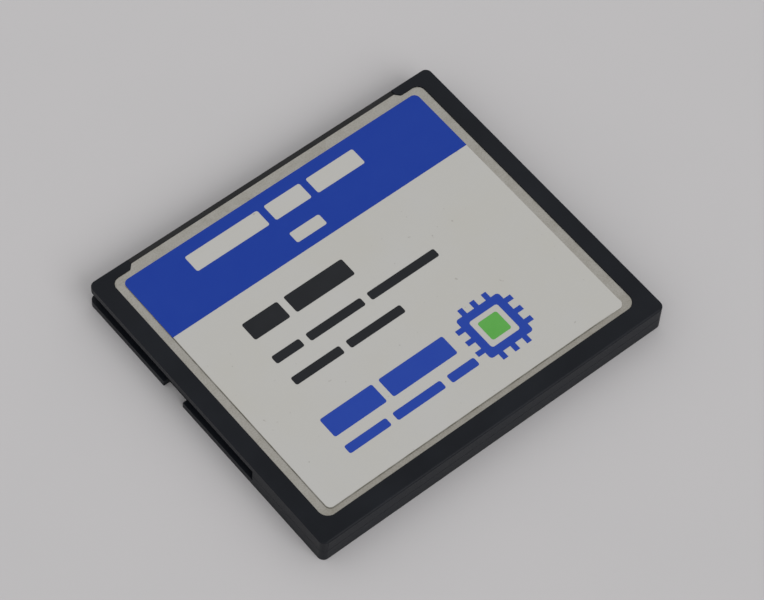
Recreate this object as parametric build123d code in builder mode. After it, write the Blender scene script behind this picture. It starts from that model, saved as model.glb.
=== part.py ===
from build123d import *
import os

os.makedirs("parts", exist_ok=True)

# The whole card. X runs along the connector, +Y is the direction of insertion, +Z is the label side
card_width = 42.8
card_length = 36.4
card_thickness = 3.3
corner_radius = 0.7
top_edge_bevel = 0.12
bottom_edge_bevel = 0.05

# Guide slots in both sides, of two heights so that the card goes in one way up only
slot_length = 25.78
slot_depth = 0.76
wide_slot_height = 1.6
narrow_slot_height = 0.99
notch_setback = 12.0
notch_length = 3.0

# Moulded rim: what it shows round the covers, and its walls inside
side_rim = 1.95
rear_rim = 2.05
front_rim = 1.1
front_lip = 0.57
ledge = 0.35
opening_corner = 0.75
slot_wall = 0.8
rear_wall = 1.2
seam_chamfer = 0.06
ridge_width = 0.3
ridge_height = 0.15
ridge_setback = 0.9
weld_clearance = 0.03
rear_round = 0.25
rear_round_inset = 0.57

# Steel covers, held by tabs that are bent down into pockets of the rim
panel_thickness = 0.15
panel_recess = 0.1
panel_clearance = 0.02
panel_rear_corner = 1.1
panel_front_corner = 0.9
step_run = 0.5
step_round = 0.24
tab_count = 3
tab_spacing = 10.5
tab_width = 4.0
tab_drop = 0.9

# Printed label
label_thickness = 0.08
label_left_margin = 0.85
label_right_margin = 1.05
label_rear_margin = 0.57
label_front_margin = 1.23
label_corner = 0.65
ink_thickness = 0.015
band_length = 8.02

# Print on the label. Its lines stand at equal steps down the pale field, and a word is a count of letters
print_lines = 6
word_gap = 0.8
title_indent = 6.5
title_setback = 2.45
title_letter = 1.5
title_height = 2.1
subtitle_indent = 16.3
subtitle_setback = 6.15
subtitle_letter = 1.25
subtitle_height = 1.4
text_indent = 6.1
heading_letter = 1.45
heading_height = 2.2
text_letter = 0.85
text_height = 1.0
footer_indent = 5.4
footer_letter = 1.6
footer_height = 2.4
mark_indent = 25.4
mark_size = 5.4
mark_line = 0.9
mark_pin = 0.8
mark_pin_width = 0.6
mark_pin_pitch = 1.5
mark_pins_per_side = 3
mark_core = 2.4

# Connector
shoulder_width = 4.8
contact_pitch = 1.27
row_spacing = 1.27
end_wall = 1.36
housing_depth = 5.8
housing_clearance = 0.05
ear_setback = 5.0
entry_wall = 0.35
entry_diameter = 0.6
entry_sides = 8
flare_diameter = 0.95
flare_depth = 0.3
cavity_wall = 0.42
row_wall = 0.32
contact_stock = 0.15
contact_side_clearance = 0.2
fork_setback = 0.75
fork_gap = 0.38
fork_length = 3.2
tail_length = 1.6
tail_gap = 0.2
lock_width = 0.9
lock_rise = 0.8
lock_foot = 2.2
lock_stock = 0.2

# Circuit board and films
board_thickness = 0.5
board_clearance = 0.2
film_thickness = 0.05
film_margin = 0.5
headroom = 0.1

# Chips on the board. Setbacks run from the front edge of the board to the middle of the part
lead_thickness = 0.12
lead_width = 0.22
lead_pitch = 0.5
lead_foot = 0.55
lead_reach = 1.0
lead_shoulder = 0.38
standoff = 0.05
controller_leads_per_side = 25
controller_corner = 1.5
controller_setback = 13.6
controller_side_gap = 0.8
flash_length = 18.4
flash_lead_reach = 0.8
flash_leads_per_side = 24
flash_setback = 14.2
detector_width = 1.6
detector_pitch = 0.95
detector_corner = 1.0
detector_lead_width = 0.4
detector_drop = 0.1
detector_setback = 8.0
chip_edge = 0.1

# Small parts on the board
crystal_length = 3.2
crystal_width = 2.5
crystal_base_height = 0.35
crystal_lid_height = 0.3
crystal_lid_inset = 0.25
crystal_setback = 8.0
bulk_length = 3.2
bulk_width = 1.6
bulk_drop = 0.1
bulk_terminal = 0.3
bulk_count = 2
bulk_setback = 11.2
chip_part_length = 1.6
chip_part_width = 0.8
chip_part_end = 0.3
chip_part_columns = 5
chip_part_lines = 2
line_step = 2.4
capacitor_height = 0.7
capacitor_setback = 14.0
resistor_height = 0.4
resistor_setback = 18.8
network_length = 3.2
network_width = 1.6
network_height = 0.5
network_end = 0.3
network_spacing = 4.5
network_count = 6
network_setback = 4.2
field_gap = 1.0
field_margin = 2.0
wide_part_step = 5.0

# Levels and edges that follow from these sizes
middle = card_thickness / 2
half_width = card_width / 2
front = card_length / 2
rear = -front
panel_half = half_width - side_rim
panel_rear = rear + rear_rim
panel_corner_front = front - front_rim
panel_front = front - front_lip
opening_half = panel_half - ledge
opening_rear = panel_rear + ledge
opening_front = panel_corner_front - ledge
board_seat_half = half_width - slot_depth - slot_wall
board_seat_rear = rear + rear_wall
housing_half = half_width - shoulder_width
contact_count = round(2 * (housing_half - end_wall) / contact_pitch) + 1
cavity_width = contact_pitch - cavity_wall
cavity_height = row_spacing - row_wall
contact_width = cavity_width - 2 * contact_side_clearance
housing_back = front - housing_depth
panel_base = card_thickness - panel_recess - panel_thickness
film_base = panel_base - film_thickness
board_top = middle + board_thickness / 2
board_front = housing_back - tail_gap
board_rear = board_seat_rear + board_clearance
board_half = board_seat_half - board_clearance
chip_height = film_base - headroom - board_top
controller_size = controller_leads_per_side * lead_pitch + controller_corner
flash_width = flash_leads_per_side * lead_pitch
detector_length = 2 * detector_pitch + detector_corner


def span(low, high):
    """The middle and the length of a stretch."""
    return (low + high) / 2, high - low


def slab(x_low, x_high, y_low, y_high, z_low, z_high, mode=Mode.ADD):
    """A box between two corners, in the part in hand."""
    x, length = span(x_low, x_high)
    y, width = span(y_low, y_high)
    z, height = span(z_low, z_high)
    with Locations((x, y, z)):
        Box(length, width, height, mode=mode)


def field(x_low, x_high, y_low, y_high, radius=0.0, mode=Mode.ADD):
    """A rectangle between two corners, in the sketch in hand."""
    x, length = span(x_low, x_high)
    y, width = span(y_low, y_high)
    with Locations((x, y)):
        if radius:
            RectangleRounded(length, width, radius, mode=mode)
        else:
            Rectangle(length, width, mode=mode)


def turned_over(part):
    """The same piece on the other face of the card."""
    return mirror(part, about=Plane.XY.offset(middle))


def panel_outline(grow=0.0):
    """The cover's outline, with rounded corners and a wider front that steps out between them."""
    half = panel_half + grow
    with BuildSketch(mode=Mode.PRIVATE) as outline:
        field(-half, half, panel_rear - grow, panel_corner_front + grow)
        fillet(outline.vertices().group_by(Axis.Y)[0], radius=panel_rear_corner)
        fillet(outline.vertices().group_by(Axis.Y)[-1], radius=panel_front_corner)
        step = housing_half + grow
        with BuildLine():
            Polyline(
                (-step - step_run, panel_corner_front + grow),
                (-step, panel_front + grow),
                (step, panel_front + grow),
                (step + step_run, panel_corner_front + grow),
                close=True,
            )
        make_face()
        steps = outline.vertices().filter_by(lambda v: abs(v.X) < step + 1.5 * step_run and v.Y > 0)
        fillet(steps, radius=step_round)
    add(outline.sketch)


tab_places = [(n - (tab_count - 1) / 2) * tab_spacing for n in range(tab_count)]
tab_middle = (panel_rear + panel_corner_front) / 2


def rim_half(edge_bevel):
    """Half of the moulded rim, label side up, before the two halves differ."""
    with BuildPart() as half:
        with BuildSketch(Plane.XY.offset(middle)):
            field(-half_width, half_width, rear, front, corner_radius)
        extrude(amount=card_thickness - middle)
        chamfer(half.edges().group_by(Axis.Z)[-1], length=edge_bevel)
        chamfer(half.edges().group_by(Axis.Z)[0], length=seam_chamfer)

        # Guide slots, open at the connector side
        for side, height in ((-1, wide_slot_height), (1, narrow_slot_height)):
            x_low, x_high = sorted((side * (half_width - slot_depth), side * half_width))
            slab(x_low, x_high, front - slot_length, front, middle, middle + height / 2, Mode.SUBTRACT)

        # Seat for the cover, the opening under it, the seat for the board and the mouth for the connector
        with BuildSketch(Plane.XY.offset(panel_base)):
            panel_outline(panel_clearance)
        extrude(amount=panel_thickness + panel_recess, mode=Mode.SUBTRACT)
        with BuildSketch(Plane.XY.offset(middle)):
            field(-opening_half, opening_half, opening_rear, opening_front, opening_corner)
        extrude(amount=panel_base - middle, mode=Mode.SUBTRACT)
        with BuildSketch(Plane.XY.offset(middle)):
            field(-board_seat_half, board_seat_half, board_seat_rear, opening_front)
        extrude(amount=board_top - middle, mode=Mode.SUBTRACT)
        mouth = housing_half + housing_clearance
        slab(-mouth, mouth, opening_front, front, middle, card_thickness, Mode.SUBTRACT)

        # Pockets for the cover's tabs
        for side in (-1, 1):
            x_low, x_high = sorted((side * opening_half, side * (panel_half + panel_clearance)))
            for place in tab_places:
                y = tab_middle + place
                reach = tab_width / 2 + panel_clearance
                z = panel_base - tab_drop - panel_clearance
                slab(x_low, x_high, y - reach, y + reach, z, panel_base, Mode.SUBTRACT)
    return half.part


def weld_joint(clearance, mode):
    """The ridge along the top of the lower half's walls, or the groove that takes it."""
    reach = ridge_width / 2 + clearance
    side = half_width - slot_depth - slot_wall / 2
    back = rear + rear_wall / 2
    top = middle + ridge_height + clearance
    for x in (-side, side):
        slab(x - reach, x + reach, back - reach, front - ridge_setback + clearance, middle, top, mode)
    slab(-side, side, back - reach, back + reach, middle, top, mode)


with BuildPart() as top_frame:
    add(rim_half(top_edge_bevel))
    weld_joint(weld_clearance, Mode.SUBTRACT)
    # Rounded rear edge for the fingertip, ending short of the corners
    with BuildSketch(Plane.YZ.offset(rear_round_inset - half_width)):
        field(rear, rear + rear_round, card_thickness - rear_round, card_thickness)
        with Locations((rear + rear_round, card_thickness - rear_round)):
            Circle(rear_round, mode=Mode.SUBTRACT)
    extrude(amount=card_width - 2 * rear_round_inset, mode=Mode.SUBTRACT)
top_frame.part.label = "top_frame"
export_step(top_frame.part, "parts/top_frame.step")

with BuildPart() as bottom_frame:
    add(turned_over(rim_half(bottom_edge_bevel)))
    weld_joint(0.0, Mode.ADD)
    # Notches in the lower rails
    notch_front = front - notch_setback
    for side in (-1, 1):
        x_low, x_high = sorted((side * (half_width - slot_depth), side * half_width))
        slab(x_low, x_high, notch_front - notch_length, notch_front, 0, middle, Mode.SUBTRACT)
bottom_frame.part.label = "bottom_frame"
export_step(bottom_frame.part, "parts/bottom_frame.step")

# Steel covers with their bent tabs
with BuildPart() as top_panel:
    with BuildSketch(Plane.XY.offset(panel_base)):
        panel_outline()
    extrude(amount=panel_thickness)
    for side in (-1, 1):
        x_low, x_high = sorted((side * (panel_half - panel_thickness), side * panel_half))
        for place in tab_places:
            y = tab_middle + place
            slab(x_low, x_high, y - tab_width / 2, y + tab_width / 2, panel_base - tab_drop, panel_base)
top_panel.part.label = "top_panel"
export_step(top_panel.part, "parts/top_panel.step")

with BuildPart() as bottom_panel:
    add(turned_over(top_panel.part))
bottom_panel.part.label = "bottom_panel"
export_step(bottom_panel.part, "parts/bottom_panel.step")

# Label, in the sunk face of the upper cover
label_left = -panel_half + label_left_margin
label_right = panel_half - label_right_margin
label_rear = panel_rear + label_rear_margin
label_front = panel_front - label_front_margin
label_base = card_thickness - panel_recess
ink_base = label_base + label_thickness
with BuildPart() as label:
    with BuildSketch(Plane.XY.offset(label_base)):
        field(label_left, label_right, label_rear, label_front, label_corner)
    extrude(amount=label_thickness)
label.part.label = "label"
export_step(label.part, "parts/label.step")


print_step = (label_front - band_length - label_rear) / print_lines


def line_at(number):
    """How far along the card the middle of a line of print lies, counted from the blue field."""
    return label_front - band_length - number * print_step


def word_row(indent, line, height, letter, words, mode=Mode.ADD):
    """A row of plain bars that stands for a line of print, in the sketch in hand."""
    left = label_left + indent
    for letters in words:
        right = left + letters * letter
        field(left, right, line - height / 2, line + height / 2, mode=mode)
        left = right + word_gap


# Blue field along the front of the label. The pale bars in it are bare label
with BuildPart() as label_band:
    with BuildSketch(Plane.XY.offset(ink_base)):
        field(label_left, label_right, label_rear, label_front, label_corner)
        field(label_left, label_right, label_rear, label_front - band_length, mode=Mode.SUBTRACT)
        word_row(
            indent=title_indent,
            line=label_front - title_setback,
            height=title_height,
            letter=title_letter,
            words=(6, 3, 4),
            mode=Mode.SUBTRACT,
        )
        word_row(
            indent=subtitle_indent,
            line=label_front - subtitle_setback,
            height=subtitle_height,
            letter=subtitle_letter,
            words=(3,),
            mode=Mode.SUBTRACT,
        )
    extrude(amount=ink_thickness)
label_band.part.label = "label_band"
export_step(label_band.part, "parts/label_band.step")

# Dark bars on the pale field
with BuildPart() as label_dark_bars:
    with BuildSketch(Plane.XY.offset(ink_base)):
        word_row(text_indent, line_at(1), heading_height, heading_letter, words=(3, 5))
        word_row(text_indent, line_at(2), text_height, text_letter, words=(4, 8, 10))
        word_row(text_indent, line_at(2.75), text_height, text_letter, words=(7, 8))
    extrude(amount=ink_thickness)
label_dark_bars.part.label = "label_dark_bars"
export_step(label_dark_bars.part, "parts/label_dark_bars.step")

# Ornament: blue bars and a square with pins on its four sides, round a green square
mark_x = label_left + mark_indent
mark_y = line_at(4.5)
with BuildPart() as label_blue_marks:
    with BuildSketch(Plane.XY.offset(ink_base)):
        word_row(footer_indent, line_at(4.25), footer_height, footer_letter, words=(4, 5))
        word_row(footer_indent, line_at(5), text_height, text_letter, words=(6, 7, 4))
        with Locations((mark_x, mark_y)):
            Rectangle(mark_size, mark_size)
            Rectangle(mark_size - 2 * mark_line, mark_size - 2 * mark_line, mode=Mode.SUBTRACT)
        with Locations((mark_x, mark_y)):
            with PolarLocations(0, 4):
                with Locations((mark_size / 2 + mark_pin / 2, 0)):
                    with GridLocations(0, mark_pin_pitch, 1, mark_pins_per_side):
                        Rectangle(mark_pin, mark_pin_width)
    extrude(amount=ink_thickness)
label_blue_marks.part.label = "label_blue_marks"
export_step(label_blue_marks.part, "parts/label_blue_marks.step")

with BuildPart() as label_green_mark:
    with BuildSketch(Plane.XY.offset(ink_base)):
        with Locations((mark_x, mark_y)):
            Rectangle(mark_core, mark_core)
    extrude(amount=ink_thickness)
label_green_mark.part.label = "label_green_mark"
export_step(label_green_mark.part, "parts/label_green_mark.step")

# Insulating films on the inner faces of the covers
with BuildPart() as top_film:
    with BuildSketch(Plane.XY.offset(film_base)):
        film_half = opening_half - film_margin
        field(-film_half, film_half, opening_rear + film_margin, board_front - film_margin)
    extrude(amount=film_thickness)
top_film.part.label = "top_film"
export_step(top_film.part, "parts/top_film.step")

with BuildPart() as bottom_film:
    add(turned_over(top_film.part))
bottom_film.part.label = "bottom_film"
export_step(bottom_film.part, "parts/bottom_film.step")

# The space of one flared pin entry, widest at the top
with BuildPart() as pin_entry:
    with BuildSketch():
        RegularPolygon(flare_diameter / 2, entry_sides)
    extrude(amount=entry_wall)
    flare = (flare_diameter - entry_diameter) / 2
    chamfer(pin_entry.edges().group_by(Axis.Z)[0], length=flare_depth, length2=flare)

# Connector housing: a body between the covers, a front lip, an ear at each end and 50 cavities
with BuildPart() as connector_housing:
    body_top = panel_base - panel_clearance
    body_base = card_thickness - body_top
    lip_top = card_thickness - panel_recess
    lip_back = front - front_lip + panel_clearance
    slab(-housing_half, housing_half, housing_back, front, body_base, body_top)
    slab(-housing_half, housing_half, lip_back, front, card_thickness - lip_top, lip_top)
    ear_half = opening_half - housing_clearance
    ear_front = opening_front - housing_clearance
    with BuildSketch(Plane.XY.offset(body_base)):
        field(-ear_half, ear_half, front - ear_setback, ear_front, opening_corner)
    extrude(amount=body_top - body_base)
    with Locations((0, (housing_back + front - entry_wall) / 2, middle)):
        with GridLocations(contact_pitch, 0, contact_count, 1):
            with Locations((0, 0, -row_spacing / 2), (0, 0, row_spacing / 2)):
                Box(cavity_width, housing_depth - entry_wall, cavity_height, mode=Mode.SUBTRACT)
    with Locations(Plane(origin=(0, front - entry_wall, middle), x_dir=(1, 0, 0), z_dir=(0, 1, 0))):
        with GridLocations(contact_pitch, row_spacing, contact_count, 2):
            add(pin_entry.part, mode=Mode.SUBTRACT)
connector_housing.part.label = "connector_housing"
export_step(connector_housing.part, "parts/connector_housing.step")

# Forked contacts, stamped from strip, with their tails on the board
contact_places = [(n - (contact_count - 1) / 2) * contact_pitch for n in range(contact_count)]
row_level = middle + row_spacing / 2
fork_tip = front - fork_setback
fork_root = fork_tip - fork_length
with BuildPart() as upper_contacts:
    with BuildSketch(*[Plane.YZ.offset(x) for x in contact_places]):
        with BuildLine():
            Polyline(
                (board_front - tail_length, board_top),
                (board_front - tail_length, board_top + contact_stock),
                (board_front, board_top + contact_stock),
                (housing_back + contact_stock, row_level + cavity_height / 2),
                (fork_tip, row_level + fork_gap / 2 + contact_stock),
                (fork_tip, row_level + fork_gap / 2),
                (fork_root, row_level + fork_gap / 2),
                (fork_root, row_level - fork_gap / 2),
                (fork_tip, row_level - fork_gap / 2),
                (fork_tip, row_level - fork_gap / 2 - contact_stock),
                (housing_back + contact_stock, row_level - cavity_height / 2),
                (board_front + contact_stock, board_top),
                close=True,
            )
        make_face()
    extrude(amount=contact_width / 2, both=True)
upper_contacts.part.label = "upper_contacts"
export_step(upper_contacts.part, "parts/upper_contacts.step")

with BuildPart() as lower_contacts:
    add(turned_over(upper_contacts.part))
lower_contacts.part.label = "lower_contacts"
export_step(lower_contacts.part, "parts/lower_contacts.step")

# Clips that hold the ears of the housing to the board
with BuildPart() as board_locks:
    lock_front = front - ear_setback
    lock_middle = (housing_half + ear_half) / 2
    for x in (-lock_middle, lock_middle):
        x_low, x_high = x - lock_width / 2, x + lock_width / 2
        slab(x_low, x_high, lock_front - lock_foot, lock_front, board_top, board_top + lock_stock)
        slab(x_low, x_high, lock_front - lock_stock, lock_front, board_top, board_top + lock_rise)
board_locks.part.label = "board_locks"
export_step(board_locks.part, "parts/board_locks.step")

# Circuit board, resting on the ledges of the lower rim
with BuildPart() as circuit_board:
    with BuildSketch(Plane.XY.offset(board_top - board_thickness)):
        field(-board_half, board_half, board_rear, board_front)
    extrude(amount=board_thickness)
circuit_board.part.label = "circuit_board"
export_step(circuit_board.part, "parts/circuit_board.step")


def chip_body(x, y, length, width, height):
    """A moulded chip body above the board, with its upper edges bevelled, in the part in hand."""
    with Locations((x, y, board_top + (standoff + height) / 2)):
        Box(length, width, height - standoff)
    chamfer(faces().sort_by(Axis.Z)[-1].edges(), length=chip_edge)


def lead_planes(x, y, turns, reach, count, pitch):
    """One plane for each lead, with its own x axis pointing out of the body."""
    planes = []
    for turn in turns:
        out = Vector(1, 0, 0).rotate(Axis.Z, turn)
        along = Vector(0, 1, 0).rotate(Axis.Z, turn)
        for n in range(count):
            place = along * ((n - (count - 1) / 2) * pitch)
            planes.append(Plane(origin=Vector(x, y, board_top) + out * reach + place, x_dir=out, z_dir=-along))
    return planes


def gull_wing(reach, height):
    """The side view of one lead, from the body's wall out and down to its foot."""
    Polygon(
        (0, height),
        (0, height + lead_thickness),
        (reach - lead_foot + lead_thickness, lead_thickness),
        (reach, lead_thickness),
        (reach, 0),
        (reach - lead_foot, 0),
        align=None,
    )


# Controller, with leads on its four sides
controller_reach = controller_size / 2 + lead_reach
controller_x = -opening_half + controller_side_gap + controller_reach
controller_y = board_front - controller_setback
lead_level = standoff + lead_shoulder
with BuildPart() as controller_body:
    chip_body(controller_x, controller_y, controller_size, controller_size, chip_height)
controller_body.part.label = "controller_body"
export_step(controller_body.part, "parts/controller_body.step")

with BuildPart() as controller_leads:
    with BuildSketch(
        *lead_planes(
            controller_x,
            controller_y,
            (0, 90, 180, 270),
            controller_size / 2,
            controller_leads_per_side,
            lead_pitch,
        )
    ):
        gull_wing(lead_reach, lead_level)
    extrude(amount=lead_width / 2, both=True)
controller_leads.part.label = "controller_leads"
export_step(controller_leads.part, "parts/controller_leads.step")

# Flash memory, on the underside of the board
flash_y = board_front - flash_setback
with BuildPart() as flash_body_above:
    chip_body(0, flash_y, flash_length, flash_width, chip_height)
with BuildPart() as flash_body:
    add(turned_over(flash_body_above.part))
flash_body.part.label = "flash_body"
export_step(flash_body.part, "parts/flash_body.step")

with BuildPart() as flash_leads_above:
    with BuildSketch(
        *lead_planes(0, flash_y, (0, 180), flash_length / 2, flash_leads_per_side, lead_pitch)
    ):
        gull_wing(flash_lead_reach, lead_level)
    extrude(amount=lead_width / 2, both=True)
with BuildPart() as flash_leads:
    add(turned_over(flash_leads_above.part))
flash_leads.part.label = "flash_leads"
export_step(flash_leads.part, "parts/flash_leads.step")

# Voltage detector: three leads on one side and two on the other
field_left = controller_x + controller_reach + field_gap
wide_part_x = field_left + bulk_length / 2
detector_x = wide_part_x + wide_part_step
detector_y = board_front - detector_setback
with BuildPart() as detector_body:
    chip_body(detector_x, detector_y, detector_length, detector_width, chip_height - detector_drop)
detector_body.part.label = "detector_body"
export_step(detector_body.part, "parts/detector_body.step")

with BuildPart() as detector_leads:
    near = lead_planes(detector_x, detector_y, (90,), detector_width / 2, 3, detector_pitch)
    far = lead_planes(detector_x, detector_y, (270,), detector_width / 2, 2, 2 * detector_pitch)
    with BuildSketch(*near, *far):
        gull_wing(flash_lead_reach, lead_level)
    extrude(amount=detector_lead_width / 2, both=True)
detector_leads.part.label = "detector_leads"
export_step(detector_leads.part, "parts/detector_leads.step")

# Clock crystal: ceramic base and metal lid
crystal_y = board_front - crystal_setback
with BuildPart() as crystal_base:
    with BuildSketch(Plane.XY.offset(board_top)):
        with Locations((wide_part_x, crystal_y)):
            Rectangle(crystal_length, crystal_width)
    extrude(amount=crystal_base_height)
crystal_base.part.label = "crystal_base"
export_step(crystal_base.part, "parts/crystal_base.step")

with BuildPart() as crystal_lid:
    with BuildSketch(Plane.XY.offset(board_top + crystal_base_height)):
        with Locations((wide_part_x, crystal_y)):
            Rectangle(crystal_length - 2 * crystal_lid_inset, crystal_width - 2 * crystal_lid_inset)
    extrude(amount=crystal_lid_height)
crystal_lid.part.label = "crystal_lid"
export_step(crystal_lid.part, "parts/crystal_lid.step")


def rows(x_low, setback, columns, lines, step):
    """The places of parts that stand in lines, the first at a setback from the front of the board."""
    return [
        (x_low + column * step, board_front - setback - line * line_step)
        for line in range(lines)
        for column in range(columns)
    ]


def two_ended_parts(name, end_word, places, length, width, height, end):
    """The bodies of small parts on the board, and the metal ends that they stand on."""
    with BuildPart() as bodies:
        with Locations(*[(x, y, board_top + height / 2) for x, y in places]):
            Box(length - 2 * end, width, height)
    bodies.part.label = f"{name}_bodies"
    export_step(bodies.part, f"parts/{name}_bodies.step")

    shift = (length - end) / 2
    with BuildPart() as ends:
        with Locations(
            *[(x + side * shift, y, board_top + height / 2) for x, y in places for side in (-1, 1)]
        ):
            Box(end, width, height)
    ends.part.label = f"{name}_{end_word}"
    export_step(ends.part, f"parts/{name}_{end_word}.step")


# Two large storage capacitors
two_ended_parts(
    "bulk_capacitor",
    "terminals",
    rows(wide_part_x, bulk_setback, bulk_count, 1, wide_part_step),
    bulk_length,
    bulk_width,
    chip_height - bulk_drop,
    bulk_terminal,
)

# Ceramic capacitors and resistors, in lines across the room beside the controller
field_right = opening_half - field_margin
chip_part_x = field_left + chip_part_length / 2
chip_part_step = (field_right - field_left - chip_part_length) / (chip_part_columns - 1)
two_ended_parts(
    "ceramic_capacitor",
    "ends",
    rows(chip_part_x, capacitor_setback, chip_part_columns, chip_part_lines, chip_part_step),
    chip_part_length,
    chip_part_width,
    capacitor_height,
    chip_part_end,
)
two_ended_parts(
    "resistor",
    "ends",
    rows(chip_part_x, resistor_setback, chip_part_columns, chip_part_lines, chip_part_step),
    chip_part_length,
    chip_part_width,
    resistor_height,
    chip_part_end,
)

# Resistor networks, in a line behind the connector
network_x = -network_spacing * (network_count - 1) / 2
two_ended_parts(
    "network",
    "ends",
    rows(network_x, network_setback, network_count, 1, network_spacing),
    network_length,
    network_width,
    network_height,
    network_end,
)
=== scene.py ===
import math

import bpy
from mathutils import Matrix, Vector


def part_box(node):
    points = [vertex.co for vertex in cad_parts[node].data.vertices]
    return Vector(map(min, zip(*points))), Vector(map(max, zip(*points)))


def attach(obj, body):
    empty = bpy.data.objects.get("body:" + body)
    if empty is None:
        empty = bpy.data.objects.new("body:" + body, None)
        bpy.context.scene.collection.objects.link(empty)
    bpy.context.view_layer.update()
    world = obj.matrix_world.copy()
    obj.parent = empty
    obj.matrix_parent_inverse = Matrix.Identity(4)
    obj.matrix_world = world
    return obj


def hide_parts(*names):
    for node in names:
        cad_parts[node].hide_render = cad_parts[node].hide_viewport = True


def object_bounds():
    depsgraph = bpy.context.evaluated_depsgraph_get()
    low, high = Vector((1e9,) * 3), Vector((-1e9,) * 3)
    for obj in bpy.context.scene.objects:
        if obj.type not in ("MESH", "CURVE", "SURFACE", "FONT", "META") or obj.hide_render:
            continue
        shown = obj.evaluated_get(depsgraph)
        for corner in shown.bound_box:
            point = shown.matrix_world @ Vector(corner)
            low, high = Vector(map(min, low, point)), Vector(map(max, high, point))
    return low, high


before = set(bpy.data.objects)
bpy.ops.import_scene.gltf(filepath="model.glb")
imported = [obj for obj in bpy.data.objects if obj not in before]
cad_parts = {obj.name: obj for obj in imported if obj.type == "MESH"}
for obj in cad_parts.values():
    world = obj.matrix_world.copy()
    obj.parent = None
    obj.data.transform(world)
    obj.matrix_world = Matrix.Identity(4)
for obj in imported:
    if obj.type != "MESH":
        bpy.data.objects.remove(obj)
cad_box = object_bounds()

# Moulded rim, upper half. Black glass-filled nylon, injection moulded with a fine grain, and welded to
# the lower half along the middle of the card's thickness. Its edges leave the tool softly rounded, and
# its rear edge is rounder still, for the fingertip.
mm = 0.001
corner_radius = 0.7
corner_steps = 8
top_edge_round = 0.12
seam_round = 0.04
soft_edge = 0.012
merge_reach = 0.002
rear_round = 0.25
rear_round_inset = 0.57
slot_length = 25.78
slot_depth = 0.76
wide_slot_height = 1.6
narrow_slot_height = 0.99
slot_wall = 0.8
rear_wall = 1.2
cover_clearance = 0.02
front_rim = 1.1
step_run = 0.5
step_round = 0.1
cover_rear_corner = 1.1
cover_front_corner = 0.9
cover_corner_steps = 12
cover_thickness = 0.15
connector_half = 16.6
connector_clearance = 0.05
ledge = 0.35
opening_corner = 0.75
board_seat_top = 1.9
tab_places = (-10.5, 0.0, 10.5)
tab_width = 4.0
ridge_width = 0.3
ridge_height = 0.15
ridge_setback = 0.9
weld_clearance = 0.03
beyond = 1.0
overlap = 0.01
near = 0.01
straight = 1e-4


def box_of(node):
    """The lowest and the highest corner of a node, in millimetres."""
    low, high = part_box(node)
    return low / mm, high / mm


def take(piece):
    """Select one piece alone and make it the active one."""
    bpy.ops.object.select_all(action="DESELECT")
    piece.select_set(True)
    bpy.context.view_layer.objects.active = piece


def block(name, low, high):
    """A box between two corners, in millimetres, as an object of its own."""
    bpy.ops.object.select_all(action="DESELECT")
    low, high = Vector(low), Vector(high)
    bpy.ops.mesh.primitive_cube_add(size=1, location=(low + high) / 2)
    piece = bpy.context.object
    piece.name = name
    piece.scale = high - low
    bpy.ops.object.transform_apply(location=True, rotation=False, scale=True)
    return piece


def upright(start, end):
    """True for an edge that runs along Z."""
    return (start - end).to_2d().length < straight


def round_edges(piece, radius, segments, chosen=upright):
    """Round the edges of a piece whose two ends pass the test."""
    take(piece)
    bpy.ops.object.mode_set(mode="EDIT")
    bpy.ops.mesh.select_mode(type="EDGE")
    bpy.ops.mesh.select_all(action="DESELECT")
    bpy.ops.object.mode_set(mode="OBJECT")
    points = piece.data.vertices
    for edge in piece.data.edges:
        edge.select = chosen(*(points[n].co for n in edge.vertices))
    bpy.ops.object.mode_set(mode="EDIT")
    bpy.ops.mesh.bevel(offset=radius, segments=segments, affect="EDGES", profile=0.5)
    bpy.ops.object.mode_set(mode="OBJECT")


def apply_modifier(piece, kind, **settings):
    """Add one modifier to a piece and apply it."""
    take(piece)
    modifier = piece.modifiers.new(kind.lower(), kind)
    for name, value in settings.items():
        setattr(modifier, name, value)
    bpy.ops.object.modifier_apply(modifier=modifier.name)


def combine(piece, tool, operation="DIFFERENCE"):
    """Cut a tool out of a piece, or add it with UNION, and throw the tool away."""
    apply_modifier(piece, "BOOLEAN", operation=operation, solver="MANIFOLD", object=tool)
    bpy.data.objects.remove(tool)


def cut_box(piece, low, high, corner=0.0):
    """Cut a box out of a piece, with rounded upright edges where a corner radius is given."""
    tool = block("cutter", low, high)
    if corner:
        round_edges(tool, corner, corner_steps)
    combine(piece, tool)


def clean(piece):
    """Merge points that the cuts left double, and turn what lies in one plane into one face again."""
    take(piece)
    bpy.ops.object.mode_set(mode="EDIT")
    bpy.ops.mesh.select_all(action="SELECT")
    bpy.ops.mesh.remove_doubles(threshold=merge_reach)
    bpy.ops.mesh.dissolve_degenerate(threshold=merge_reach)
    bpy.ops.mesh.dissolve_limited(angle_limit=math.radians(0.5))
    bpy.ops.mesh.normals_make_consistent(inside=False)
    bpy.ops.object.mode_set(mode="OBJECT")


def soften_edges(piece, width):
    """Clean a piece and round its sharp edges a little."""
    clean(piece)
    apply_modifier(
        piece,
        "BEVEL",
        width=width,
        segments=2,
        limit_method="ANGLE",
        angle_limit=math.radians(50),
        use_clamp_overlap=False,
    )


def finish_piece(piece, soften=soft_edge):
    """Clean a piece, soften its sharp edges, shade it, bring it to metres and let it ride on the card."""
    if soften:
        soften_edges(piece, soften)
    else:
        clean(piece)
    take(piece)
    bpy.ops.object.shade_smooth_by_angle(angle=math.radians(35))
    apply_modifier(piece, "WEIGHTED_NORMAL", weight=100, keep_sharp=True)
    piece.scale = (mm, mm, mm)
    bpy.ops.object.transform_apply(location=False, rotation=False, scale=True)
    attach(piece, "root")


card_low, card_high = (corner / mm for corner in cad_box)
middle = box_of("top_frame")[0].z
cover_low, cover_high = box_of("top_panel")
cover_base = cover_high.z - cover_thickness
corner_front = card_high.y - front_rim


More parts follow.
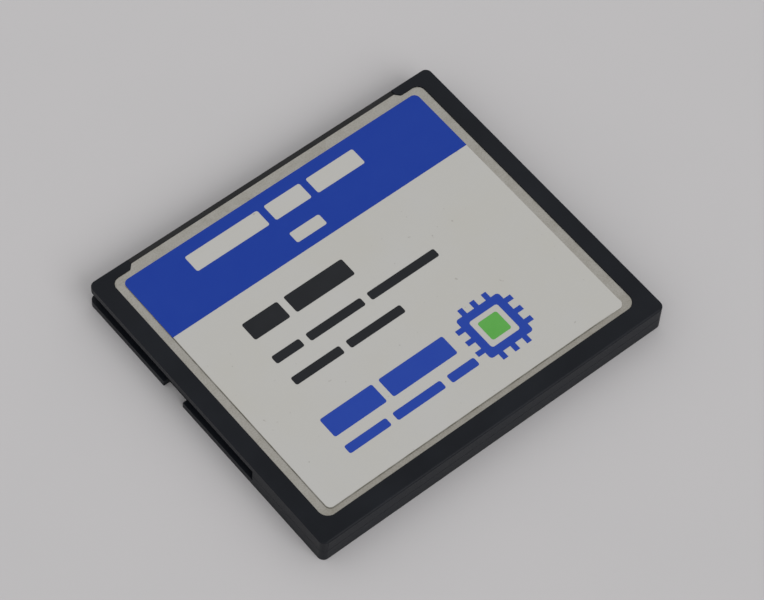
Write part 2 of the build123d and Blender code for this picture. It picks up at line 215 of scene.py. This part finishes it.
def cover_slab(name, grow, low, high):
    """A slab with a cover's outline: rounded corners, and a wider front that steps out between them."""
    side, front = cover_high.x + grow, corner_front + grow
    slab = block(name, (-side, cover_low.y - grow, low), (side, front, high))
    round_edges(slab, cover_rear_corner, cover_corner_steps, lambda a, b: upright(a, b) and a.y < 0)
    round_edges(
        slab,
        cover_front_corner,
        cover_corner_steps,
        lambda a, b: upright(a, b) and a.y > front - near,
    )
    run_on = 0.5
    lip_front = cover_high.y + grow
    half = connector_half + grow
    root_half = half + step_run * (lip_front - front + run_on) / (lip_front - front)
    strip = block("strip", (-root_half, front - run_on, low), (root_half, lip_front, high))
    for point in strip.data.vertices:
        if point.co.y > front:
            point.co.x = math.copysign(half, point.co.x)
    combine(slab, strip, "UNION")

    def at_step(start, end):
        """True for the upright edges at the two ends of each slanting step."""
        at_front = start.y > front - near
        margin = 0.1
        at_side = half - margin < abs(start.x) < half + step_run + margin
        return upright(start, end) and at_front and at_side

    round_edges(slab, step_round, segments=4, chosen=at_step)
    return slab


opening_half = cover_high.x - ledge
opening_rear = cover_low.y + ledge
opening_front = corner_front - ledge
tab_middle = (cover_low.y + corner_front) / 2
tab_foot = cover_low.z


def rim_half(name, edge_round):
    """One half of the rim, label side up, with its slots and the seats inside it."""
    half = block(name, (card_low.x, card_low.y, middle), (card_high.x, card_high.y, card_high.z))
    round_edges(half, corner_radius, corner_steps)
    round_edges(half, edge_round, segments=3, chosen=lambda a, b: min(a.z, b.z) > card_high.z - near)
    round_edges(half, seam_round, segments=2, chosen=lambda a, b: max(a.z, b.z) < middle + near)

    # Guide slots of two heights
    slot_rear = card_high.y - slot_length
    for side, height in ((-1, wide_slot_height), (1, narrow_slot_height)):
        left, right = sorted((side * (card_high.x - slot_depth), side * (card_high.x + beyond)))
        cut_box(
            half,
            (left, slot_rear, middle - beyond),
            (right, card_high.y + beyond, middle + height / 2),
        )

    # Seats for the cover, the board and the connector
    combine(half, cover_slab("seat", cover_clearance, cover_base, card_high.z + beyond))
    cut_box(
        half,
        (-opening_half, opening_rear, middle - beyond),
        (opening_half, opening_front, cover_base + overlap),
        opening_corner,
    )
    seat_half = card_high.x - slot_depth - slot_wall
    seat_rear = card_low.y + rear_wall
    cut_box(half, (-seat_half, seat_rear, middle - beyond), (seat_half, opening_front, board_seat_top))
    mouth_half = connector_half + connector_clearance
    cut_box(
        half,
        (-mouth_half, opening_front - overlap, middle - beyond),
        (mouth_half, card_high.y + beyond, card_high.z + beyond),
    )

    # Pockets for the cover's tabs
    for side in (-1, 1):
        left, right = sorted((side * opening_half, side * (cover_high.x + cover_clearance)))
        for place in tab_places:
            reach = tab_width / 2 + cover_clearance
            cut_box(
                half,
                (left - overlap, tab_middle + place - reach, tab_foot - cover_clearance),
                (right, tab_middle + place + reach, cover_base + overlap),
            )
    return half


def weld_runs(clearance, low, high):
    """The three straight stretches of the weld, along the two sides and the rear, as boxes."""
    reach = ridge_width / 2 + clearance
    side = card_high.x - slot_depth - slot_wall / 2
    back = card_low.y + rear_wall / 2
    front = card_high.y - ridge_setback + clearance
    for x in (-side, side):
        yield block("run", (x - reach, back - reach, low), (x + reach, front, high))
    yield block("run", (-side, back - reach, low), (side, back + reach, high))


rim_upper = rim_half("rim_upper", top_edge_round)
for run in weld_runs(weld_clearance, middle - beyond, middle + ridge_height + weld_clearance):
    combine(rim_upper, run)

# The round for the fingertip is cut after the softening, because its ends run out too flat for a bevel
soften_edges(rim_upper, soft_edge)
round_end = card_high.x - rear_round_inset
round_tool = block(
    "round_tool",
    (-round_end, card_low.y - beyond, card_high.z - rear_round),
    (round_end, card_low.y + rear_round, card_high.z + beyond),
)
bpy.ops.object.select_all(action="DESELECT")
bpy.ops.mesh.primitive_cylinder_add(
    vertices=64,
    radius=rear_round,
    depth=card_high.x * 2 + beyond,
    location=(0, card_low.y + rear_round, card_high.z - rear_round),
    rotation=(0, math.pi / 2, 0),
)
combine(round_tool, bpy.context.object)
combine(rim_upper, round_tool)
finish_piece(rim_upper, soften=0)
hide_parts("top_frame")

# Moulded rim, lower half. The same walls turned over, with crisp edges, a ridge that melts into a groove
# of the upper half when they are welded, and a notch in each of its two rails. Same black nylon.
bottom_edge_round = 0.05
ridge_root = 0.1
notch_setback = 12.0
notch_length = 3.0
same_point = 1e-5


def turn_over(piece):
    """Mirror a piece about the middle of the card's thickness."""
    piece.scale = (1, 1, -1)
    piece.location = (0, 0, 2 * middle)
    take(piece)
    bpy.ops.object.transform_apply(location=True, rotation=False, scale=True)
    bpy.ops.object.mode_set(mode="EDIT")
    bpy.ops.mesh.select_all(action="SELECT")
    bpy.ops.mesh.remove_doubles(threshold=same_point)
    bpy.ops.mesh.normals_make_consistent(inside=False)
    bpy.ops.object.mode_set(mode="OBJECT")


rim_lower = rim_half("rim_lower", bottom_edge_round)
turn_over(rim_lower)
for run in weld_runs(0.0, middle - ridge_root, middle + ridge_height):
    combine(rim_lower, run, "UNION")
notch_front = card_high.y - notch_setback
for side in (-1, 1):
    left, right = sorted((side * (card_high.x - slot_depth), side * (card_high.x + beyond)))
    cut_box(
        rim_lower,
        (left, notch_front - notch_length, card_low.z - beyond),
        (right, notch_front, middle),
    )
finish_piece(rim_lower)
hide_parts("bottom_frame")


class Field:
    """A value that changes over a surface, with Python's signs for the sums of the shader."""

    def __init__(self, wiring, socket):
        self.wiring = wiring
        self.socket = socket

    def sum_of(self, operation, *values):
        """One Math node on values and other fields."""
        return self.wiring.node("ShaderNodeMath", {"operation": operation}, values)

    def __add__(self, other):
        return self.sum_of("ADD", self, other)

    def __sub__(self, other):
        return self.sum_of("SUBTRACT", self, other)

    def __rsub__(self, other):
        return self.sum_of("SUBTRACT", other, self)

    def __mul__(self, other):
        return self.sum_of("MULTIPLY", self, other)

    __radd__ = __add__
    __rmul__ = __mul__


class Wiring:
    """The nodes of one material or of the room."""

    def __init__(self, tree):
        self.tree = tree

    def node(self, kind, settings=(), values=(), output=0):
        """Add a node, with its settings first and then its sockets, and give one of its outputs."""
        node = self.tree.nodes.new(kind)
        for name, value in dict(settings).items():
            if name == "stops":
                for stop, (place, level) in zip(node.color_ramp.elements, value):
                    stop.position = place
                    stop.color = (level, level, level, 1)
            else:
                setattr(node, name, value)
        pairs = values.items() if isinstance(values, dict) else enumerate(values)
        for socket, value in pairs:
            if isinstance(value, Field):
                self.tree.links.new(value.socket, node.inputs[socket])
            else:
                node.inputs[socket].default_value = value
        return Field(self, node.outputs[output])

    def vector(self, operation, *values, output=0):
        """Vector maths on points and directions."""
        return self.node("ShaderNodeVectorMath", {"operation": operation}, values, output)

    def along(self, point, axis):
        """How far a point lies along X, Y or Z."""
        return self.node("ShaderNodeSeparateXYZ", values=[point], output=axis)


class Finish(Wiring):
    """A material in the making. Values that are the same all over are set on its shader at once."""

    def __init__(self, name, constants):
        self.material = bpy.data.materials.new(name)
        self.material.use_nodes = True
        super().__init__(self.material.node_tree)
        self.shader = self.tree.nodes["Principled BSDF"]
        for socket, value in constants.items():
            self.shader.inputs[socket].default_value = value

    def place(self, stretch=(1, 1, 1)):
        """The point on the piece, in millimetres, stretched along the three axes."""
        point = self.node("ShaderNodeTexCoord", output="Object")
        return self.vector("MULTIPLY", point, tuple(factor / mm for factor in stretch))

    def cloud(self, size, low=0.3, high=0.7, stretch=(1, 1, 1), detail=3.0):
        """Soft patches about as large as a size in millimetres, from 0 at a low level of noise to 1."""
        noise = self.node(
            "ShaderNodeTexNoise",
            values={"Vector": self.place(stretch), "Scale": 1 / size, "Detail": detail},
        )
        return self.node("ShaderNodeValToRGB", {"stops": ((low, 0), (high, 1))}, [noise])

    def fade(self, value, start, end):
        """A field that runs smoothly from 0 to 1 between two levels of another one."""
        return self.node(
            "ShaderNodeMapRange",
            {"interpolation_type": "SMOOTHSTEP"},
            {"Value": value, "From Min": start, "From Max": end},
        )

    def mix(self, amount, first, second):
        """One colour where the amount is 0 and another where it is 1."""
        # The sockets of this node go by number, because several of them share a name
        return self.node(
            "ShaderNodeMix",
            {"data_type": "RGBA"},
            {0: amount, 6: first, 7: second},
            output=2,
        )

    def feed(self, socket, value):
        """Lead a value that changes over the surface into the shader."""
        self.tree.links.new(value.socket, self.shader.inputs[socket])

    def relief(self, height, depth):
        """Raise and sink the surface by a field, over a depth in millimetres."""
        self.feed(
            "Normal",
            self.node("ShaderNodeBump", values={"Strength": 1.0, "Distance": depth * mm, "Height": height}),
        )


def colour(red, green, blue):
    """A colour from its values on a screen, 0 to 255."""
    levels = (value / 255 for value in (red, green, blue))
    return tuple(v / 12.92 if v <= 0.04045 else ((v + 0.055) / 1.055) ** 2.4 for v in levels) + (1.0,)


def coat(finish, slot, *pieces):
    """Give pieces a finish, or CAD nodes the finish in place of their own. The slot is not used."""
    for piece in pieces:
        piece.data.materials.clear()
        piece.data.materials.append(finish.material)


rim_plastic = Finish("rim_plastic", {"IOR": 1.3, "Specular IOR Level": 0.4})
handled = rim_plastic.cloud(6.0)
scuffs = rim_plastic.cloud(0.22, 0.64, 0.8, stretch=(1, 3, 1))
rim_plastic.feed(
    "Base Color",
    rim_plastic.mix(handled * 0.6 + scuffs * 0.4, colour(12, 15, 21), colour(24, 27, 33)),
)
rim_plastic.feed("Roughness", 0.42 + handled * 0.08 + scuffs * 0.12)
rim_plastic.relief(rim_plastic.cloud(0.12, 0.2, 0.8), 0.01)
coat(rim_plastic, "rim_plastic", rim_upper, rim_lower)

# Covers. Stainless steel sheet, 0.15 mm thick, stamped to shape with three tabs bent down at each side,
# and pressed into the rim. A satin surface from the rolling mill, a little duller along its rear border,
# where fingers pull the card out.
stamped_edge = 0.02
tab_root = 0.05
handled_from = 2.0
handled_full = 0.5


def steel_cover(name, turned):
    """One cover: the stamped slab with its tabs, the right way up or turned over."""
    cover = cover_slab(name, 0.0, cover_base, cover_high.z)
    for side in (-1, 1):
        left, right = sorted((side * cover_high.x, side * (cover_high.x - cover_thickness)))
        for place in tab_places:
            tab = block(
                "tab",
                (left, tab_middle + place - tab_width / 2, tab_foot),
                (right, tab_middle + place + tab_width / 2, cover_base + tab_root),
            )
            combine(cover, tab, "UNION")
    if turned:
        turn_over(cover)
    finish_piece(cover, stamped_edge)
    return cover


cover_upper = steel_cover("cover_upper", turned=False)
cover_lower = steel_cover("cover_lower", turned=True)
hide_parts("top_panel")
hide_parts("bottom_panel")

cover_steel = Finish("cover_steel", {"Metallic": 1.0})
tarnish = cover_steel.cloud(1.6, 0.42, 0.72)
rolling = cover_steel.cloud(0.3, 0.25, 0.75, stretch=(0.06, 3, 1))
pitting = cover_steel.cloud(0.16, 0.42, 0.7)
lengthwise = cover_steel.along(cover_steel.place(), "Y")
handled_rear = cover_steel.fade(lengthwise, cover_low.y + handled_from, cover_low.y + handled_full)
cover_steel.feed(
    "Base Color",
    cover_steel.mix(
        tarnish * 0.35 + rolling * 0.15 + pitting * 0.5 + handled_rear * 0.35,
        (0.49, 0.475, 0.44, 1),
        (0.35, 0.33, 0.285, 1),
    ),
)
cover_steel.feed("Roughness", 0.34 + rolling * 0.1 + tarnish * 0.08)
cover_steel.relief(rolling + pitting, 0.002)
coat(cover_steel, "cover_steel", cover_upper, cover_lower)

# Label. A satin film, die cut with rounded corners and stuck down by hand. Its right-hand edge has been
# lifted and pressed back, so it runs a little wavy. Its left and rear borders are painted a little darker.
label_low, label_high = box_of("label")
label_corner = 0.65
label_corner_steps = 10
cut_edge = 0.02
wavy_front = 6.0
wave_step = 0.35
wave_height = 0.07
wave_calm_front = 4.0
wave_calm_rear = 1.0
waves = ((1.0, 0.9, 0.0), (0.7, 2.3, 1.0), (0.7, 4.9, 0.0))
dark_border_width = 0.11
dark_border_core = 0.3
dark_border_fade = 2.0
above_all = 9.0

label_sheet = block("label_sheet", label_low, label_high)
round_edges(label_sheet, label_corner, label_corner_steps)
take(label_sheet)
wavy_rear = label_low.y + label_corner
stations = [
    wavy_rear + wave_step * (n + 1) for n in range(int((wavy_front - wavy_rear) / wave_step))
]
bpy.ops.object.mode_set(mode="EDIT")
bpy.ops.mesh.select_mode(type="VERT")
for station in stations:
    bpy.ops.mesh.select_all(action="SELECT")
    bpy.ops.mesh.bisect(plane_co=(0, station, 0), plane_no=(0, 1, 0))
    bpy.ops.mesh.select_all(action="DESELECT")
    bpy.ops.object.mode_set(mode="OBJECT")
    for point in label_sheet.data.vertices:
        point.select = abs(point.co.y - station) < near and point.co.x > label_high.x - near
    bpy.ops.object.mode_set(mode="EDIT")
    calm = min(1.0, (wavy_front - station) / wave_calm_front, (station - wavy_rear) / wave_calm_rear)
    stray = sum(strength * math.sin(station * rate + start) for strength, rate, start in waves)
    bpy.ops.transform.translate(value=(calm * wave_height * stray, 0, 0))
bpy.ops.object.mode_set(mode="OBJECT")
finish_piece(label_sheet, cut_edge)
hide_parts("label")

label_stock = Finish("label_stock", {"Specular IOR Level": 0.25})
yellowing = label_stock.cloud(7.0, 0.35, 0.75)
specks = label_stock.cloud(0.5, 0.77, 0.82, detail=1.0)
centre = (label_low + label_high) / 2
reach = (label_high - label_low) / 2
off_centre = label_stock.vector("SUBTRACT", label_stock.place(), (centre.x, centre.y, 0))
past_core = label_stock.vector(
    "SUBTRACT",
    label_stock.vector("ABSOLUTE", off_centre),
    (reach.x - label_corner, reach.y - label_corner, above_all),
)
from_core = label_stock.vector(
    "LENGTH", label_stock.vector("MAXIMUM", past_core, (0, 0, 0)), output="Value"
)
# The outermost tenth of a millimetre of the label, along its left and rear borders, is painted darker
border = label_stock.fade(from_core, label_corner - dark_border_width, label_corner - dark_border_core * dark_border_width)
beyond_middle = label_stock.along(off_centre, "X") + label_stock.along(off_centre, "Y")
dark_sides = label_stock.fade(beyond_middle, dark_border_fade, -dark_border_fade)
dark_border = border * dark_sides * (0.6 + label_stock.cloud(1.2) * 0.4)
paper = label_stock.mix(yellowing * 0.6, colour(181, 180, 177), colour(180, 178, 171))
paper = label_stock.mix(specks * 0.35, paper, colour(120, 112, 104))
label_stock.feed("Base Color", label_stock.mix(dark_border, paper, colour(88, 85, 74)))
label_stock.feed("Roughness", 0.42 + yellowing * 0.08)
label_stock.relief(label_stock.cloud(0.6, 0.2, 0.8), 0.004)
coat(label_stock, "label_stock", label_sheet)

# Blue field of the label's print, along its front. Screen-printed ink a few microns thick, with a satin
# film over it. A title is left bare in it, as pale bars with rounded ends.
ink_low, ink_high = box_of("label_band")
word_gap = 0.8
bar_corner = 0.22
bar_roundness = 0.35

# For each line its left end and middle, the bars' height, a letter's width, and the letters of each word
title_lines = (
    (-12.1, 13.95, 2.1, 1.5, (6, 3, 4)),
    (-2.3, 10.25, 1.4, 1.25, (3,)),
)


def word_bars(lines):
    """Bars that stand for lines of print: each word a bar, as long as its letters."""
    bars = []
    for left, middle_y, height, letter, words in lines:
        for letters in words:
            right = left + letters * letter
            low = (left, middle_y - height / 2, ink_low.z)
            bar = block("bar", low, (right, middle_y + height / 2, ink_high.z))
            round_edges(bar, min(bar_corner, bar_roundness * height), segments=4)
            bars.append(bar)
            left = right + word_gap
    return bars


def joined(name, parts):
    """Several shapes that don't touch, as one piece."""
    take(parts[0])
    for part in parts:
        part.select_set(True)
    bpy.ops.object.join()
    parts[0].name = name
    return parts[0]


def raise_bars(parts):
    """Stretch bars through the ink, so that they can be cut out of it."""
    stretch = 3
    tool = joined("bars", parts)
    tool.scale.z = stretch
    tool.location.z = (1 - stretch) * (ink_low.z + ink_high.z) / 2
    bpy.ops.object.transform_apply(location=True, rotation=False, scale=True)
    return tool


title = word_bars(title_lines)
band = block("blue_field", (label_low.x, ink_low.y, ink_low.z), (label_high.x, label_high.y, ink_high.z))
round_edges(
    band,
    label_corner,
    label_corner_steps,
    lambda a, b: upright(a, b) and a.y > ink_high.y - near,
)
combine(band, raise_bars(title))
finish_piece(band, soften=0)
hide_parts("label_band")


def ink(name, tone, worn):
    """Screen-printed ink: a full tone with a faint unevenness from the screen."""
    finish = Finish(name, {"Specular IOR Level": 0.22})
    unevenness = finish.cloud(3.0)
    grain = finish.cloud(0.15, 0.25, 0.75)
    finish.feed("Base Color", finish.mix(unevenness * 0.35 + grain * 0.15, tone, worn))
    finish.feed("Roughness", 0.38 + grain * 0.08)
    finish.relief(grain, 0.003)
    return finish


coat(ink("band_ink", colour(10, 51, 147), colour(20, 57, 149)), "band_ink", band)

# Dark bars on the pale field, for a heading and two lines of small print. Black screen ink, under the
# same satin film.
dark_lines = (
    (-12.5, 4.387, 2.2, 1.45, (3, 5)),
    (-12.5, 0.393, 1.0, 0.85, (4, 8, 10)),
    (-12.5, -2.602, 1.0, 0.85, (7, 8)),
)
dark_bars = joined("dark_bars", word_bars(dark_lines))
finish_piece(dark_bars, soften=0)
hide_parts("label_dark_bars")
coat(ink("dark_ink", colour(22, 24, 28), colour(34, 36, 40)), "dark_ink", dark_bars)

# Ornament in the lower part of the label: blue bars, and a square with pins on its four sides round a
# green square. Blue and green screen ink, printed one after the other.
blue_lines = (
    (-13.2, -8.592, 2.4, 1.6, (4, 5)),
    (-13.2, -11.587, 1.0, 0.85, (6, 7, 4)),
)
mark_x, mark_y = 6.8, -9.592
mark_half = 2.7
mark_corner = 0.35
mark_corner_steps = 5
mark_line = 0.9
mark_pin = 0.8
mark_pin_width = 0.6
mark_pin_pitch = 1.5
window_corner = 0.3
core_half = 1.2
core_corner = 0.25
past_face = 0.1


def square(half, low=ink_low.z, high=ink_high.z):
    """A square block round the ornament's middle."""
    return block("square", (mark_x - half, mark_y - half, low), (mark_x + half, mark_y + half, high))


ring = square(mark_half)
round_edges(ring, mark_corner, mark_corner_steps)
for n in (-1, 0, 1):
    shift = n * mark_pin_pitch
    span = mark_half + mark_pin
    wide = mark_pin_width / 2
    for x, y in ((span, wide), (wide, span)):
        at_x = mark_x + (shift if x < y else 0)
        at_y = mark_y + (shift if y < x else 0)
        pin = block("pin", (at_x - x, at_y - y, ink_low.z), (at_x + x, at_y + y, ink_high.z))
        combine(ring, pin, "UNION")
window = square(mark_half - mark_line, ink_low.z - past_face, ink_high.z + past_face)
round_edges(window, window_corner, mark_corner_steps)
combine(ring, window)
blue_marks = joined("blue_marks", word_bars(blue_lines) + [ring])
finish_piece(blue_marks, soften=0)
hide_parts("label_blue_marks")
coat(ink("blue_ink", colour(26, 60, 156), colour(36, 68, 158)), "blue_ink", blue_marks)

green_core = square(core_half)
round_edges(green_core, core_corner, mark_corner_steps)
green_core.name = "green_core"
finish_piece(green_core, soften=0)
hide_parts("label_green_mark")
coat(ink("green_ink", colour(84, 158, 68), colour(100, 170, 84)), "green_ink", green_core)

# Connector. Black glass-filled polymer, moulded with an ear at each end and 50 flared entries in two rows
# that lead the pins of a card slot to the forked contacts behind them. It is clamped between the covers.
housing_low, housing_high = box_of("connector_housing")
housing_back = 12.4
housing_skin = 0.27
housing_edge = 0.02
lip_back = 17.65
ear_back = 13.2
ear_front = 16.7
contact_pitch = 1.27
contact_columns = 25
contact_rows = 2
entry_wall = 0.35
entry_radius = 0.3
entry_run = 0.3
flare_radius = 0.475
flare_depth = 0.3
cavity_half_width = 0.425
cavity_half_height = 0.475

housing = block(
    "connector_block",
    (-connector_half, housing_back, housing_skin),
    (connector_half, housing_high.y, card_high.z - housing_skin),
)
lip = block(
    "lip",
    (-connector_half, lip_back, housing_low.z),
    (connector_half, housing_high.y, housing_high.z),
)
combine(housing, lip, "UNION")
ears = block(
    "ears",
    (housing_low.x, ear_back, housing_skin),
    (housing_high.x, ear_front, card_high.z - housing_skin),
)
round_edges(ears, opening_corner, corner_steps)
combine(housing, ears, "UNION")


def fifty(tool):
    """Repeat one shape at the places of the 50 contacts."""
    tool.location.x -= contact_pitch * (contact_columns - 1) / 2
    tool.location.z -= contact_pitch / 2
    take(tool)
    bpy.ops.object.transform_apply(location=True, rotation=False, scale=False)
    steps = ((contact_columns, (contact_pitch, 0, 0)), (contact_rows, (0, 0, contact_pitch)))
    for count, step in steps:
        apply_modifier(
            tool,
            "ARRAY",
            count=count,
            use_relative_offset=False,
            use_constant_offset=True,
            constant_offset_displace=step,
        )
    return tool


cavity = block(
    "cavity",
    (-cavity_half_width, housing_back - past_face, middle - cavity_half_height),
    (cavity_half_width, housing_high.y - entry_wall, middle + cavity_half_height),
)
combine(housing, fifty(cavity))

# One entry: a cone for the flare, drawn out at both ends until it passes through the wall
bpy.ops.object.select_all(action="DESELECT")
bpy.ops.mesh.primitive_cone_add(
    vertices=24,
    radius1=entry_radius,
    radius2=flare_radius,
    depth=flare_depth,
    location=(0, housing_high.y - flare_depth / 2, middle),
    rotation=(-math.pi / 2, 0, 0),
)
entry = bpy.context.object
bpy.ops.object.transform_apply(location=True, rotation=True, scale=False)
for end in (-1, 1):
    bpy.ops.object.mode_set(mode="EDIT")
    bpy.ops.mesh.select_mode(type="FACE")
    bpy.ops.mesh.select_all(action="DESELECT")
    bpy.ops.object.mode_set(mode="OBJECT")
    for face in entry.data.polygons:
        face.select = face.normal.y * end > 1 - near
    bpy.ops.object.mode_set(mode="EDIT")
    bpy.ops.mesh.extrude_region_move(TRANSFORM_OT_translate={"value": (0, end * entry_run, 0)})
    bpy.ops.object.mode_set(mode="OBJECT")
combine(housing, fifty(entry))
finish_piece(housing, housing_edge)
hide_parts("connector_housing")

housing_plastic = Finish("housing_plastic", {"IOR": 1.4, "Specular IOR Level": 0.4})
flow = housing_plastic.cloud(2.5)
housing_plastic.feed("Base Color", housing_plastic.mix(flow, colour(20, 20, 21), colour(30, 30, 31)))
housing_plastic.feed("Roughness", 0.45 + flow * 0.1)
housing_plastic.relief(housing_plastic.cloud(0.1, 0.2, 0.8), 0.006)
coat(housing_plastic, "housing_plastic", housing)


# Inside the card. Thin amber films insulate the covers, and the green board carries the chips, the
# clock crystal and rows of small parts, all of them soldered by their tinned ends and leads.
def inside(name, nodes, base, shade, patch, roughness, metallic=0.0):
    """A plain factory finish with slight unevenness, for nodes that the covers hide."""
    finish = Finish(name, {"Metallic": metallic})
    patches = finish.cloud(patch)
    finish.feed("Base Color", finish.mix(patches, base, shade))
    finish.feed("Roughness", roughness + patches * 0.12)
    finish.relief(finish.cloud(patch / 8), 0.004)
    coat(finish, name, *(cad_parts[node] for node in nodes))


inside(
    "film",
    ["top_film", "bottom_film"],
    base=colour(206, 150, 62),
    shade=colour(188, 128, 44),
    patch=5.0,
    roughness=0.25,
)
inside(
    "contact_metal",
    ["upper_contacts", "lower_contacts"],
    base=(0.86, 0.66, 0.28, 1),
    shade=(0.78, 0.56, 0.22, 1),
    patch=0.8,
    roughness=0.25,
    metallic=1.0,
)
inside(
    "board",
    ["circuit_board"],
    base=colour(22, 92, 48),
    shade=colour(18, 76, 40),
    patch=3.0,
    roughness=0.3,
)
inside(
    "chip_plastic",
    ["controller_body", "flash_body", "detector_body"],
    base=colour(28, 28, 29),
    shade=colour(38, 38, 39),
    patch=1.2,
    roughness=0.55,
)
inside(
    "lead_metal",
    ["controller_leads", "flash_leads", "detector_leads", "board_locks"],
    base=(0.72, 0.72, 0.70, 1),
    shade=(0.60, 0.60, 0.58, 1),
    patch=0.6,
    roughness=0.3,
    metallic=1.0,
)
inside(
    "end_metal",
    ["bulk_capacitor_terminals", "ceramic_capacitor_ends", "resistor_ends", "network_ends"],
    base=(0.74, 0.74, 0.72, 1),
    shade=(0.62, 0.62, 0.60, 1),
    patch=0.5,
    roughness=0.32,
    metallic=1.0,
)
inside(
    "crystal_ceramic",
    ["crystal_base"],
    base=colour(168, 156, 138),
    shade=colour(150, 138, 120),
    patch=0.8,
    roughness=0.5,
)
inside(
    "crystal_metal",
    ["crystal_lid"],
    base=(0.72, 0.69, 0.60, 1),
    shade=(0.64, 0.60, 0.50, 1),
    patch=0.8,
    roughness=0.28,
    metallic=1.0,
)
inside(
    "bulk_plastic",
    ["bulk_capacitor_bodies"],
    base=colour(214, 150, 50),
    shade=colour(198, 132, 40),
    patch=0.9,
    roughness=0.5,
)
inside(
    "capacitor_ceramic",
    ["ceramic_capacitor_bodies"],
    base=colour(150, 124, 92),
    shade=colour(132, 106, 76),
    patch=0.4,
    roughness=0.4,
)
inside(
    "resistor_ceramic",
    ["resistor_bodies", "network_bodies"],
    base=colour(34, 34, 38),
    shade=colour(48, 48, 52),
    patch=0.4,
    roughness=0.3,
)

# Floor. A plain pale table top with a faint unevenness, which the card lies on. It is wide enough to
# fill the view from any side.
floor_half = 3.0
bpy.ops.object.select_all(action="DESELECT")
bpy.ops.mesh.primitive_plane_add(size=2 * floor_half, location=(0, 0, cad_box[0].z))
floor = bpy.context.object
floor.name = "floor"
table_top = Finish("table_top", {"Specular IOR Level": 0.2})
table_top.feed(
    "Base Color",
    table_top.mix(table_top.cloud(18.0) * 0.35, colour(190, 188, 189), colour(186, 185, 186)),
)
table_top.feed("Roughness", 0.6 + table_top.cloud(9.0) * 0.1)
floor.data.materials.append(table_top.material)

# Light. An even room lights the card from all round, a little more from behind its rear edge and from
# its left, and most of all from half way up, as from windows. One broad soft lamp stands at the rear.
lamp_level = 1.15
lamp_spread = math.radians(40)
lamp_height = math.radians(38)
lamp_bearing = math.radians(5)
room_level = 0.56
room_slope = (-0.12, -0.02, 0.0)
room_girdle = 1.2

lamp = bpy.data.objects.new("soft_lamp", bpy.data.lights.new("soft_lamp", "SUN"))
lamp.data.energy = lamp_level
lamp.data.angle = lamp_spread
lamp_side = Vector((math.sin(lamp_bearing), -math.cos(lamp_bearing), 0))
lamp_way = lamp_side * math.cos(lamp_height) + Vector((0, 0, math.sin(lamp_height)))
lamp.rotation_euler = lamp_way.to_track_quat("Z", "Y").to_euler()
bpy.context.scene.collection.objects.link(lamp)

room = bpy.data.worlds.new("room")
room.use_nodes = True
bpy.context.scene.world = room
walls = Wiring(room.node_tree)
way = walls.node("ShaderNodeTexCoord", output="Generated")
slope = walls.vector("DOT_PRODUCT", way, room_slope, output="Value")
rise = walls.node("ShaderNodeClamp", values=[walls.along(way, "Z")])
brightness = room_level + slope + rise * (1 - rise) * room_girdle
background = room.node_tree.nodes["Background"]
background.inputs["Color"].default_value = (1, 1, 1, 1)
room.node_tree.links.new(brightness.socket, background.inputs["Strength"])

# Camera, at the photograph's viewing angle: from beyond the rear left corner, looking steeply down
# through a long lens, with a slight roll.
bearing = math.radians(-43.242)
height = math.radians(57.634)
roll = math.radians(4.601)
camera_place = Vector((-0.12034, -0.12865, 0.28053))
image_width = 764
focal_pixels = 3380
camera = bpy.data.objects.new("camera", bpy.data.cameras.new("camera"))
bpy.context.scene.collection.objects.link(camera)
bpy.context.scene.camera = camera
camera.location = camera_place
back = Vector(
    (math.sin(bearing) * math.cos(height), -math.cos(bearing) * math.cos(height), math.sin(height))
)
turn = back.to_track_quat("Z", "Y").to_matrix()
level_right = Vector((0, 0, 1)).cross(back).normalized()
level_up = back.cross(level_right)
right = level_right * math.cos(roll) + level_up * math.sin(roll)
up = back.cross(right)
turn.col[0], turn.col[1], turn.col[2] = right, up, back
camera.rotation_euler = turn.to_euler()
camera.data.sensor_width = 36
camera.data.lens = focal_pixels / image_width * camera.data.sensor_width
camera.data.clip_start = 0.01
camera.data.clip_end = 20
bpy.context.scene.view_settings.view_transform = "Standard"
